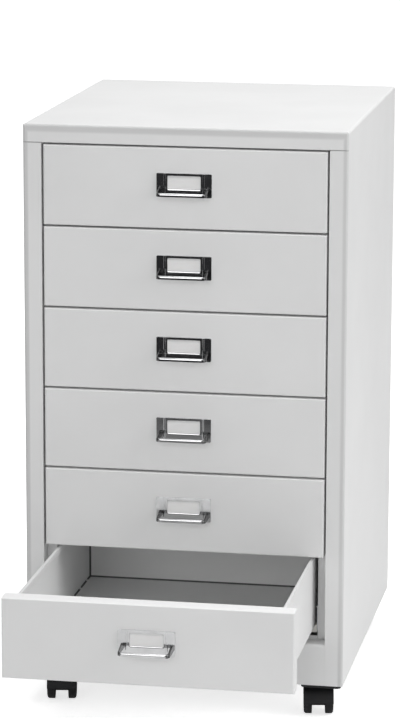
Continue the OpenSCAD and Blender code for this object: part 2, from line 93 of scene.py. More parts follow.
# Node trees


class Graph:
    """A node tree under construction, for a material, the world or a geometry."""

    def __init__(self, tree: bpy.types.NodeTree) -> None:
        """Keeps the tree that the nodes go into."""
        self.tree = tree

    @classmethod
    def of(cls, owner: bpy.types.Material | bpy.types.World) -> "Graph":
        """Starts the tree of a material or of the world with no nodes in it.

        Args:
            owner: The material or the world.

        Returns:
            The graph.
        """
        owner.use_nodes = True
        owner.node_tree.nodes.clear()
        return cls(owner.node_tree)

    def node(self, kind: str, settings: dict | None = None, **values: object) -> bpy.types.Node:
        """Adds one node.

        Args:
            kind: The node's type, such as ShaderNodeTexNoise.
            settings: The node's own settings, which are set first.
            values: A number, colour, Wire or socket for each input, by its name with _ for a space.

        Returns:
            The new node.
        """
        made = self.tree.nodes.new(kind)
        for key, value in (settings or {}).items():
            setattr(made, key, value)
        for key, value in values.items():
            self.feed(self.input_of(made, key), value)
        return made

    def input_of(self, node: bpy.types.Node, key: str) -> bpy.types.NodeSocket:
        """Finds an enabled input by its name or, as i0 and so on, by its number.

        Args:
            node: The node to look in.
            key: The input's name with _ for a space, or i and its number.

        Returns:
            The input socket.
        """
        if key[0] == "i" and key[1:].isdigit():
            return node.inputs[int(key[1:])]
        name = key.replace("_", " ")
        return next(s for s in node.inputs if s.enabled and s.name == name)

    def feed(self, socket: bpy.types.NodeSocket, value: object) -> None:
        """Links a wire or a socket to an input, or writes a value on it.

        Args:
            socket: The input socket.
            value: A Wire, a socket, a number, a colour or a vector.
        """
        if isinstance(value, Wire):
            value = value.socket
        if isinstance(value, bpy.types.NodeSocket):
            self.tree.links.new(value, socket)
        elif isinstance(value, tuple) and socket.type == "RGBA" and len(value) == 3:
            socket.default_value = (*value, 1.0)
        else:
            socket.default_value = value

    def wire(self, node: bpy.types.Node, output: str | int = 0) -> "Wire":
        """Wraps a node's output, which is given by its name or number."""
        return Wire(self, node.outputs[output])

    def mix(self, factor: object, first: object, second: object) -> "Wire":
        """Mixes two colours, from the first at a factor of 0 to the second at 1."""
        made = self.node("ShaderNodeMix", {"data_type": "RGBA"}, Factor=factor, A=first, B=second)
        return Wire(self, next(s for s in made.outputs if s.enabled))

    def coordinates(self, kind: str) -> "Wire":
        """Reads the texture coordinates of a kind, such as Object."""
        return self.wire(self.node("ShaderNodeTexCoord"), kind)

    def split(self, place: "Wire") -> tuple["Wire", ...]:
        """Splits coordinates into x, y and z."""
        parts = self.node("ShaderNodeSeparateXYZ", Vector=place)
        return tuple(self.wire(parts, k) for k in range(3))

    def rays(self) -> tuple["Wire", "Wire"]:
        """Tells apart the rays that reach the floor or the world.

        Returns:
            1 where it is seen directly or through glass, and 1 where a glossy part mirrors it.
        """
        path = self.node("ShaderNodeLightPath")
        seen = self.wire(path, "Is Camera Ray")
        shown = seen.greater(self.wire(path, "Is Transmission Ray"))
        return shown, self.wire(path, "Is Glossy Ray")


class Wire:
    """A number that flows through a tree, with the usual arithmetic."""

    def __init__(self, graph: Graph, socket: bpy.types.NodeSocket) -> None:
        """Keeps the output socket that the number comes from and the graph that new nodes go into."""
        self.graph = graph
        self.socket = socket

    def math(self, operation: str, *operands: object) -> "Wire":
        """Adds a Math node for an operation, with wires or numbers as its inputs in order."""
        inputs = {f"i{k}": value for k, value in enumerate(operands)}
        return self.graph.wire(self.graph.node("ShaderNodeMath", {"operation": operation}, **inputs))

    def __add__(self, other: object) -> "Wire":
        """self + other"""
        return self.math("ADD", self, other)

    def __radd__(self, other: object) -> "Wire":
        """other + self"""
        return self.math("ADD", other, self)

    def __sub__(self, other: object) -> "Wire":
        """self - other"""
        return self.math("SUBTRACT", self, other)

    def __rsub__(self, other: object) -> "Wire":
        """other - self"""
        return self.math("SUBTRACT", other, self)

    def __mul__(self, other: object) -> "Wire":
        """self * other"""
        return self.math("MULTIPLY", self, other)

    def __rmul__(self, other: object) -> "Wire":
        """other * self"""
        return self.math("MULTIPLY", other, self)

    def __abs__(self) -> "Wire":
        """The number without its sign."""
        return self.math("ABSOLUTE", self)

    def greater(self, other: object) -> "Wire":
        """The greater one of self and other."""
        return self.math("MAXIMUM", self, other)

    def root(self) -> "Wire":
        """The square root."""
        return self.math("SQRT", self)

    def sine(self) -> "Wire":
        """The sine of an angle in radians."""
        return self.math("SINE", self)

    def ramp(self, low: float, high: float) -> "Wire":
        """Goes smoothly from 0 at low to 1 at high."""
        made = self.graph.node("ShaderNodeMapRange", {"interpolation_type": "SMOOTHSTEP"},
                               Value=self, From_Min=low, From_Max=high)
        return self.graph.wire(made)


# Finishes


@dataclass(frozen=True)
class Layer:
    """A noise in a finish, and what it does to the surface.

    The scale is in cells per metre, the stretch is a factor along each axis, the depth is in metres, and
    the dulling is the roughness that the noise adds where it is 1.
    """

    scale: float = 1.0
    detail: float = 2.0
    stretch: Point | None = None
    depth: float = 0.0
    strength: float = 0.0
    dulling: float = 0.0

    def over(self, graph: Graph, place: Wire) -> Wire:
        """Adds the noise.

        Args:
            graph: The material's graph.
            place: The Object coordinates.

        Returns:
            The noise, from 0 to 1.
        """
        if self.stretch:
            place = graph.wire(graph.node("ShaderNodeMapping", Vector=place, Scale=self.stretch))
        made = graph.node("ShaderNodeTexNoise", Vector=place, Scale=self.scale, Detail=self.detail)
        return graph.wire(made)


@dataclass(frozen=True)
class Finish:
    """What every finish has: a name, a colour, a gloss and the radius its edges are shaded round with."""

    name: str
    colour: Colour
    roughness: float
    edge: float = 0.0
    edge_samples: int = 6

    def toned(self, share: float) -> Colour:
        """The finish's colour, darkened to a share of itself."""
        return tuple(c * share for c in self.colour)

    def start(self) -> tuple[bpy.types.Material, Graph, Wire]:
        """Starts a material.

        Returns:
            The material, its graph and its Object coordinates.
        """
        material = bpy.data.materials.new(self.name)
        graph = Graph.of(material)
        return material, graph, graph.coordinates("Object")

    def shade(self, graph: Graph, place: Wire, colour: Wire) -> Wire:
        """Leaves the colour as it is; a finish with marks of its own adds them here."""
        return colour

    def close(self, graph: Graph, bumps: list[tuple[Layer, Wire]], **values: object) -> None:
        """Ends a material with its bumps and its surface shader.

        Args:
            graph: The material's graph.
            bumps: Each layer that stands out, with its noise, the coarsest first.
            values: The shader's inputs.
        """
        normal = None
        if self.edge:
            samples = {"samples": self.edge_samples}
            normal = graph.wire(graph.node("ShaderNodeBevel", samples, Radius=self.edge))
        for layer, height in bumps:
            feeds = {"Normal": normal} if normal else {}
            normal = graph.wire(graph.node("ShaderNodeBump", Height=height, Distance=layer.depth,
                                           Strength=layer.strength, **feeds))
        shader = graph.node("ShaderNodeBsdfPrincipled", Normal=normal, **values)
        graph.node("ShaderNodeOutputMaterial", Surface=shader.outputs[0])


@dataclass(frozen=True)
class PowderCoat(Finish):
    """Baked powder paint: a soft gloss with the fine ripple of sprayed powder."""

    edge: float = 0.8 * MM
    cloud: Layer = Layer(7.0, 3.0)
    cloud_span: Span = (0.3, 0.7)
    mottle: float = 0.035
    ripple: Layer = Layer(420.0, 2.0, depth=0.03 * MM, strength=0.35)
    grain: Layer = Layer(2600.0, 1.0, depth=0.012 * MM, strength=0.3, dulling=0.08)
    touch: Layer = Layer(38.0, 4.0, dulling=0.06)
    touch_span: Span = (0.45, 0.75)
    shine: float = 0.24
    ior: float = 1.5

    def build(self) -> bpy.types.Material:
        """Makes the material.

        Returns:
            The material.
        """
        material, graph, place = self.start()
        cloud = self.cloud.over(graph, place).ramp(*self.cloud_span)
        ripple = self.ripple.over(graph, place)
        grain = self.grain.over(graph, place)
        touch = self.touch.over(graph, place).ramp(*self.touch_span)
        mottled = graph.mix(cloud, self.toned(1.0 - self.mottle), self.colour)
        roughness = self.roughness + self.grain.dulling * grain + self.touch.dulling * touch
        self.close(graph, [(self.ripple, ripple), (self.grain, grain)],
                   Base_Color=self.shade(graph, place, mottled), Roughness=roughness, IOR=self.ior,
                   Specular_IOR_Level=self.shine)
        return material


@dataclass(frozen=True)
class WrapCoat(PowderCoat):
    """The body's powder paint, with painted shade a tone deeper beside the front's upper and outer bends
    and in the seams over the posts.
    """

    front: float = 0.0
    top: float = 0.0
    half_w: float = 0.0
    face_depth: float = 2.5 * MM
    soft: float = 1.0 * MM
    upper_band: float = 7.0 * MM
    upper_fade: float = 1.6
    outer_band: float = 4.5 * MM
    outer_fade: float = 1.7
    band_tone: float = 0.8
    strip: float = 22.5 * MM
    post: float = 24.0 * MM
    seam: float = 0.9 * MM
    seam_core: float = 0.4
    seam_tone: float = 0.55

    def shade(self, graph: Graph, place: Wire, colour: Wire) -> Wire:
        """Paints shade into the colour beside the bends of the front and in the seams over the posts.

        Args:
            graph: The material's graph.
            place: The Object coordinates.
            colour: The paint's colour.

        Returns:
            The colour with its painted shade bands and seam shade.
        """
        x, y, z = graph.split(place)
        across = abs(x)
        face = self.front + self.face_depth
        # painted shade: these masks darken the front face beside its upper and outer bends
        facing = y.ramp(face, face - self.soft)
        upper = z.ramp(self.top - self.upper_fade * self.upper_band, self.top - self.upper_band)
        outer = across.ramp(self.half_w - self.outer_fade * self.outer_band,
                            self.half_w - self.outer_band)
        # painted shade in the seam where the top strip meets each post
        level = abs(z - (self.top - self.strip)).ramp(self.seam, self.seam_core * self.seam)
        post = self.half_w - self.post
        seam = facing * level * across.ramp(post, post + self.soft)
        shade_banded = graph.mix(facing * upper.greater(outer), colour, self.toned(self.band_tone))
        return graph.mix(seam, shade_banded, self.toned(self.seam_tone))


@dataclass(frozen=True)
class FrontCoat(PowderCoat):
    """A drawer front's powder paint, with a painted highlight along the folded upper edge."""

    top: float = 0.0
    edge_w: float = 1.4 * MM
    edge_core: float = 0.6
    edge_colour: Colour = (0.97, 0.97, 0.97)

    def shade(self, graph: Graph, place: Wire, colour: Wire) -> Wire:
        """Paints a highlight along the upper edge.

        Args:
            graph: The material's graph.
            place: The Object coordinates.
            colour: The paint's colour.

        Returns:
            The colour with its painted highlight.
        """
        height = graph.split(place)[2]
        # painted highlight: the upper edge is paler, as if lit along its bend
        pale = height.ramp(self.top - self.edge_w, self.top - self.edge_core * self.edge_w)
        return graph.mix(pale, colour, self.edge_colour)


@dataclass(frozen=True)
class TrayCoat(PowderCoat):
    """The tray's powder paint, with painted shadow in the open joints where its sheets meet."""

    low: Point = (0.0, 0.0, 0.0)
    high: Point = (0.0, 0.0, 0.0)
    sheet: float = 0.8 * MM
    joint: float = 1.6 * MM
    corner: float = 1.8 * MM
    soft: float = 0.3 * MM
    stitch: float = 40.0 * MM
    stitch_span: Span = (-0.9, -0.7)
    gap_tone: float = 0.16

    def shade(self, graph: Graph, place: Wire, colour: Wire) -> Wire:
        """Paints shadow into the open joints round the floor and up the rear corners, on the inner faces.

        Args:
            graph: The material's graph.
            place: The Object coordinates.
            colour: The paint's colour.

        Returns:
            The colour with its painted shadow gaps.
        """
        x, y, z = graph.split(place)
        across = abs(x)
        soft = self.soft
        half_w = self.high[0] - self.sheet
        back = self.high[1] - self.sheet
        floor_top = self.low[2] + self.sheet
        within_sides = across.ramp(half_w + soft, half_w + soft / 2)
        before_back = y.ramp(back + soft, back + soft / 2)
        over = z.ramp(floor_top - soft, floor_top - soft / 2)
        low = z.ramp(floor_top + self.joint + soft, floor_top + self.joint)
        at_side = across.ramp(half_w - self.joint - soft, half_w - self.joint)
        at_back = y.ramp(back - self.joint - soft, back - self.joint)
        dashes = (y * (2 * math.pi / self.stitch)).sine().ramp(*self.stitch_span)
        near_corner = across.ramp(half_w - self.corner - soft, half_w - self.corner)
        on_back = y.ramp(back - self.corner - soft, back - self.corner)
        # painted shadow: the open joints at the floor and rear corners are darkened as shade would fall
        # in them
        joints = low * at_back.greater(at_side * dashes)
        shadow_gaps = within_sides * before_back * over * joints.greater(near_corner * on_back)
        return graph.mix(shadow_gaps, colour, self.toned(self.gap_tone))


@dataclass(frozen=True)
class PullPlate(Finish):
    """A pull's bright plating: faintly lined, clouded in gloss, with a painted dark reflection on the
    grip's arms.
    """

    cloud: Layer = Layer(60.0, 4.0, dulling=0.06)
    cloud_span: Span = (0.4, 0.8)
    tarnish: float = 0.12
    tarnish_span: Span = (0.35, 0.7)
    lines: Layer = Layer(detail=3.0, stretch=(40.0, 40.0, 900.0), depth=0.006 * MM, strength=0.4,
                         dulling=0.04)
    front: float = 0.0
    front_fade: float = 0.5 * MM
    arm_x: float = 26.0 * MM
    arm_fade: float = 2.0 * MM
    arm_tone: float = 0.2

    def build(self) -> bpy.types.Material:
        """Makes the material.

        Returns:
            The material.
        """
        material, graph, place = self.start()
        cloud = self.cloud.over(graph, place)
        lines = self.lines.over(graph, place)
        tarnished = graph.mix(cloud.ramp(*self.tarnish_span), self.colour, self.toned(1.0 - self.tarnish))
        dulled = self.roughness + self.cloud.dulling * cloud.ramp(*self.cloud_span)
        self.close(graph, [(self.lines, lines)], Base_Color=self.shade(graph, place, tarnished),
                   Roughness=dulled + self.lines.dulling * lines, Metallic=1.0)
        return material

    def shade(self, graph: Graph, place: Wire, colour: Wire) -> Wire:
        """Darkens the arms, which stand out from the frame at its two ends, with a painted dark
        reflection.

        Args:
            graph: The material's graph.
            place: The Object coordinates.
            colour: The plating's colour.

        Returns:
            The colour with the painted reflection on its arms.
        """
        x, y, _ = graph.split(place)
        arms = abs(x).ramp(self.arm_x, self.arm_x + self.arm_fade)
        out = y.ramp(self.front, self.front - self.front_fade)
        # painted reflection: the arms' plating is darkened to stand for the dark surroundings they mirror
        return graph.mix(arms * out, colour, self.toned(self.arm_tone))


@dataclass(frozen=True)
class Spangle(Finish):
    """Zinc plate with the crystal pattern that the bath leaves."""

    edge: float = 0.3 * MM
    cells: float = 260.0
    cell_tone: float = 0.82
    cell_dulling: float = 0.12
    scratches: Layer = Layer(detail=3.0, stretch=(900.0, 25.0, 900.0), depth=0.01 * MM, strength=0.4,
                             dulling=0.08)

    def build(self) -> bpy.types.Material:
        """Makes the material.

        Returns:
            The material.
        """
        material, graph, place = self.start()
        cell = graph.node("ShaderNodeTexVoronoi", Vector=place, Scale=self.cells)
        tone = graph.wire(graph.node("ShaderNodeSeparateColor", Color=cell.outputs["Color"]))
        scratches = self.scratches.over(graph, place)
        dulled = self.roughness + self.cell_dulling * tone
        self.close(graph, [(self.scratches, scratches)],
                   Base_Color=graph.mix(tone, self.toned(self.cell_tone), self.colour),
                   Roughness=dulled + self.scratches.dulling * scratches, Metallic=1.0)
        return material


@dataclass(frozen=True)
class Moulded(Finish):
    """Moulded plastic with a spark-eroded texture and a little dust."""

    edge: float = 0.6 * MM
    flow: Layer = Layer(45.0, 3.0, depth=0.08 * MM, strength=0.2, dulling=0.1)
    grain: Layer = Layer(1800.0, 2.0, depth=0.03 * MM, strength=0.35, dulling=0.12)
    dust: Colour = (0.05, 0.05, 0.05)
    dust_share: float = 0.1
    dust_span: Span = (0.45, 0.85)
    shine: float = 0.4

    def build(self) -> bpy.types.Material:
        """Makes the material.

        Returns:
            The material.
        """
        material, graph, place = self.start()
        flow = self.flow.over(graph, place)
        grain = self.grain.over(graph, place)
        dusty = flow.ramp(*self.dust_span) * self.dust_share
        roughness = self.roughness + self.grain.dulling * grain + self.flow.dulling * flow
        self.close(graph, [(self.flow, flow), (self.grain, grain)],
                   Base_Color=graph.mix(dusty, self.colour, self.dust), Roughness=roughness,
                   Specular_IOR_Level=self.shine)
        return material


@dataclass(frozen=True)
class Card(Finish):
    """Label card with its fibres."""

    fibre: Layer = Layer(detail=4.0, stretch=(500.0, 500.0, 2200.0), depth=0.03 * MM, strength=0.5,
                         dulling=0.05)
    pulp: Layer = Layer(120.0, 3.0)
    warmth: Colour = (0.97, 0.965, 0.955)
    shine: float = 0.2

    def build(self) -> bpy.types.Material:
        """Makes the material.

        Returns:
            The material.
        """
        material, graph, place = self.start()
        fibre = self.fibre.over(graph, place)
        warm = tuple(c * share for c, share in zip(self.colour, self.warmth))
        self.close(graph, [(self.fibre, fibre)],
                   Base_Color=graph.mix(self.pulp.over(graph, place), self.colour, warm),
                   Roughness=self.roughness + self.fibre.dulling * fibre, Specular_IOR_Level=self.shine)
        return material


class Finishes:
    """The finishes of the cabinet: the shared ones built once, the others made for their nodes."""

    def __init__(self) -> None:
        """Builds the shared materials."""
        self.white = PowderCoat("white_powder_coat", PAINT, PAINT_ROUGHNESS).build()
        self.zinc = Spangle("zinc_plate", (0.62, 0.63, 0.65), 0.3).build()
        self.nylon = Moulded("white_nylon", (0.82, 0.81, 0.77), 0.42, dust_share=0.25,
                             dust=(0.6, 0.58, 0.52)).build()
        self.card = Card("label_card", (0.93, 0.93, 0.93), 0.8).build()
        self.black = Moulded("black_moulding", (0.010, 0.010, 0.011), 0.5, shine=BLACK_SHINE).build()
        self.tyre = Moulded("black_tread", BLACK, 0.55, dust_share=0.2, shine=BLACK_SHINE).build()
        self.enamel = PowderCoat("black_enamel", BLACK, 0.4, shine=BLACK_SHINE).build()

    def wrap(self, node: str) -> bpy.types.Material:
        """Makes the coat of the outer wrap, with its painted shade beside the bends and in the seams."""
        low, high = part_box(node)
        return WrapCoat(f"{node}_coat", PAINT, PAINT_ROUGHNESS, front=low.y, top=high.z,
                        half_w=high.x).build()

    def front(self, node: str) -> bpy.types.Material:
        """Makes the coat of one drawer front, with its painted highlight in its place."""
        return FrontCoat(f"{node}_coat", PAINT, PAINT_ROUGHNESS, top=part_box(node)[1].z).build()

    def tray(self, node: str) -> bpy.types.Material:
        """Makes the coat of one tray, with its painted shadow gaps in their places."""
        low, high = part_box(node)
        return TrayCoat(f"{node}_coat", PAINT, PAINT_ROUGHNESS, low=tuple(low), high=tuple(high)).build()

    def pull(self, node: str, thick: float) -> bpy.types.Material:
        """Makes the plating of one pull, whose frame stands out by thick."""
        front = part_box(node)[1].y - thick
        return PullPlate(f"{node}_plating", (0.55, 0.553, 0.558), 0.07, front=front).build()


# Shapes


def quarter_turn(steps: int) -> list[float]:
    """Gives the angles from 0 to a quarter turn in equal steps."""
    return [k / steps * math.pi / 2 for k in range(steps + 1)]


def rounded_rectangle(half_w: float, half_h: float, radius: float, steps: int) -> Outline:
    """Gives the points of a rectangle with round corners.

    Args:
        half_w: Half its width.
        half_h: Half its height.
        radius: Corner radius.
        steps: Segments in each corner.

    Returns:
        The points, counter-clockwise from the right-hand side.
    """
    points = []
    for quarter in range(4):
        sx = 1 if quarter in (0, 3) else -1
        sy = 1 if quarter in (0, 1) else -1
        for angle in quarter_turn(steps):
            a = quarter * math.pi / 2 + angle
            points.append((sx * (half_w - radius) + radius * math.cos(a),
                           sy * (half_h - radius) + radius * math.sin(a)))
    return points


def stand(name: str, data: bpy.types.ID) -> bpy.types.Object:
    """Makes an object and links it to the scene.

    Args:
        name: The object's name.
        data: Its mesh, light or camera.

    Returns:
        The object.
    """
    made = bpy.data.objects.new(name, data)
    bpy.context.scene.collection.objects.link(made)
    return made


def smooth(data: bpy.types.Mesh, sharp: float) -> None:
    """Shades a mesh smooth, apart from the edges that bend by more than an angle in degrees."""
    data.shade_smooth()
    data.set_sharp_from_angle(angle=math.radians(sharp))


class Shell:
    """A mesh under construction, made of lofted and turned shapes."""

    def __init__(self, name: str) -> None:
        """Starts an empty mesh for the piece of that name."""
        self.name = name
        self.mesh = bmesh.new()

    def loft(self, loops: list[Loop], closed: bool = False, caps: bool = False) -> None:
        """Skins a row of loops that have the same number of points.

        Args:
            loops: The loops in order.
            closed: Whether the last loop joins the first.
            caps: Whether the first and last loops are filled.
        """
        rings = [[self.mesh.verts.new(p) for p in loop] for loop in loops]
        count = len(rings[0])
        pairs = list(zip(rings, rings[1:])) + ([(rings[-1], rings[0])] if closed else [])
        for a, b in pairs:
            for k in range(count):
                self.mesh.faces.new((a[k], a[(k + 1) % count], b[(k + 1) % count], b[k]))
        if caps:
            self.mesh.faces.new(rings[0])
            self.mesh.faces.new(list(reversed(rings[-1])))

    def turn(self, profile: Outline, centre: Vector, axis: Vector, steps: int) -> None:
        """Turns a closed profile about an axis, all the way round.

        Args:
            profile: Points as distance along the axis and radius.
            centre: A point on the axis, which the distances count from.
            axis: The axis, of length 1.
            steps: Segments round.
        """
        across = axis.orthogonal().normalized()
        other = axis.cross(across)
        loops = []
        for k in range(steps):
            a = 2 * math.pi * k / steps
            ray = across * math.cos(a) + other * math.sin(a)
            loops.append([tuple(centre + axis * along + ray * radius) for along, radius in profile])
        self.loft(loops, closed=True)

    def finish(self, material: bpy.types.Material, sharp: float) -> bpy.types.Object:
        """Closes the mesh and makes it an object at the origin.

        Args:
            material: The finish.
            sharp: The angle in degrees past which an edge stays sharp.

        Returns:
            The object.
        """
        bmesh.ops.remove_doubles(self.mesh, verts=self.mesh.verts, dist=SHELL_MERGE)
        bmesh.ops.recalc_face_normals(self.mesh, faces=self.mesh.faces)
        data = bpy.data.meshes.new(self.name)
        self.mesh.to_mesh(data)
        self.mesh.free()
        data.materials.append(material)
        smooth(data, sharp)
        return stand(self.name, data)


def dress(node: str, material: bpy.types.Material) -> None:
    """Gives a CAD node its finish.

    Args:
        node: The node's name.
        material: The finish.
    """
    data = frame["nodes"][node].data
    data.materials.clear()
    data.materials.append(material)
    data.polygons.foreach_set("material_index", [0] * len(data.polygons))
    LOG.info("dressed %s", node)


def settle(piece: bpy.types.Object, body: str, node: str) -> None:
    """Hands a finished piece to its body and the node that it stands for.

    Args:
        piece: The piece.
        body: The CAD body that it rides on.
        node: The CAD node that it replaces.
    """
    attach(piece, body)
    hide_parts(node)
    LOG.info("built %s on %s", piece.name, body)


def island_centres(node: str) -> list[Vector]:
    """Finds the middle of each separate solid in a CAD node.

    Args:
        node: The node's name.

    Returns:
        The middles of the solids' boxes.
    """
    copy = bmesh.new()
    copy.from_mesh(frame["nodes"][node].data)
    bmesh.ops.remove_doubles(copy, verts=copy.verts, dist=CAD_MERGE)
    copy.verts.ensure_lookup_table()
    left = set(range(len(copy.verts)))
    centres = []
    while left:
        stack = [left.pop()]
        low = copy.verts[stack[0]].co.copy()
        high = low.copy()
        while stack:
            vertex = copy.verts[stack.pop()]
            low = Vector(map(min, low, vertex.co))
            high = Vector(map(max, high, vertex.co))
            for edge in vertex.link_edges:
                other = edge.other_vert(vertex).index
                if other in left:
                    left.remove(other)
                    stack.append(other)
        centres.append((low + high) / 2)
    copy.free()
    return sorted(centres, key=lambda c: (round(c.x, 4), round(c.z, 4)))


def grow(piece: bpy.types.Object, tree: bpy.types.NodeTree, inputs: dict[str, object],
         sharp: float) -> bpy.types.Object:
    """Runs a geometry tree on an object and keeps the result as its plain mesh.

    Args:
        piece: The object that carries the tree.
        tree: The geometry tree.
        inputs: A value for each of the tree's named inputs.
        sharp: The angle in degrees past which an edge stays sharp.

    Returns:
        The object with its plain mesh.
    """
    modifier = piece.modifiers.new("shape", "NODES")
    modifier.node_group = tree
    for item in tree.interface.items_tree:
        if item.item_type == "SOCKET" and item.in_out == "INPUT" and item.name in inputs:
            modifier[item.identifier] = inputs[item.name]
    graph = bpy.context.evaluated_depsgraph_get()
    plain = bpy.data.meshes.new_from_object(piece.evaluated_get(graph))
    piece.modifiers.clear()
    piece.data = plain
    smooth(plain, sharp)
    return piece


# Sub-assemblies


@dataclass
class Carcass:
    """The folded body with its back, base, rail, uprights and runners."""

    rivet_r: float = 3.2 * MM
    rivet_h: float = 1.2 * MM
    rivet_dimple: float = 0.8 * MM
    rivet_sharp: float = 35.0

    def build(self, finishes: Finishes) -> None:
        """Dresses the carcass and sets its rivets.

        Args:
            finishes: The materials.
        """
        dress("outer_wrap", finishes.wrap("outer_wrap"))
        for node in ("back_panel", "base_pan", "front_rail", "left_uprights", "right_uprights"):
            dress(node, finishes.white)
        for node in ("left_runners", "right_runners"):
            dress(node, finishes.zinc)
        dress("runner_guides", finishes.nylon)
        self.rivets(finishes.zinc)

    def rivets(self, material: bpy.types.Material) -> None:
        """Builds the pop rivets from one geometry tree.

        Args:
            material: The rivets' finish.
        """
        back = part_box("back_panel")[1].y
        carrier = bpy.data.meshes.new("rivet_points")
        carrier.from_pydata([(x, back, z) for x, _, z in island_centres("back_rivets")], [], [])
        piece = stand("back_rivet_heads", carrier)
        inputs = {"Head radius": self.rivet_r, "Head height": self.rivet_h,
                  "Dimple radius": self.rivet_dimple, "Finish": material}
        grown = grow(piece, RivetTree().build(), inputs, self.rivet_sharp)
        settle(grown, "cabinet", "back_rivets")


@dataclass
class RivetTree:
    """A geometry tree that sets a domed, dimpled rivet head on each point, facing +Y."""

    name: str = "rivet_heads"
    segments: int = 20
    rings: int = 9
    dimple_slope: float = 0.6

    def build(self) -> bpy.types.NodeTree:
        """Makes the tree.

        Returns:
            The tree, with Head radius, Head height, Dimple radius and Finish as inputs.
        """
        tree = bpy.data.node_groups.new(self.name, "GeometryNodeTree")
        sizes = ("Head radius", "Head height", "Dimple radius")
        face = tree.interface
        face.new_socket("Geometry", in_out="INPUT", socket_type="NodeSocketGeometry")
        for name in sizes:
            face.new_socket(name, in_out="INPUT", socket_type="NodeSocketFloat")
        face.new_socket("Finish", in_out="INPUT", socket_type="NodeSocketMaterial")
        face.new_socket("Geometry", in_out="OUTPUT", socket_type="NodeSocketGeometry")
        graph = Graph(tree)
        given = graph.node("NodeGroupInput")
        radius, height, dimple = (graph.wire(given, name) for name in sizes)
        ball = graph.node("GeometryNodeMeshUVSphere", Segments=self.segments, Rings=self.rings,
                          Radius=1.0)
        x, y, z = graph.split(graph.wire(graph.node("GeometryNodeInputPosition")))
        up = z.greater(0.0)
        flat = (x * x + y * y).root() * radius
        hole = (dimple - flat).greater(0.0) * self.dimple_slope
        head = graph.node("ShaderNodeCombineXYZ", X=x * radius, Y=up * height - hole * up,
                          Z=y * radius * -1.0)
        shaped = graph.node("GeometryNodeSetPosition", Geometry=ball.outputs["Mesh"],
                            Position=head.outputs[0])
        spread = graph.node("GeometryNodeInstanceOnPoints", Points=given.outputs["Geometry"],
                            Instance=shaped.outputs[0])
        real = graph.node("GeometryNodeRealizeInstances", Geometry=spread.outputs[0])
        painted = graph.node("GeometryNodeSetMaterial", Geometry=real.outputs[0],
                             Material=given.outputs["Finish"])
        graph.node("NodeGroupOutput", Geometry=painted.outputs[0])
        return tree


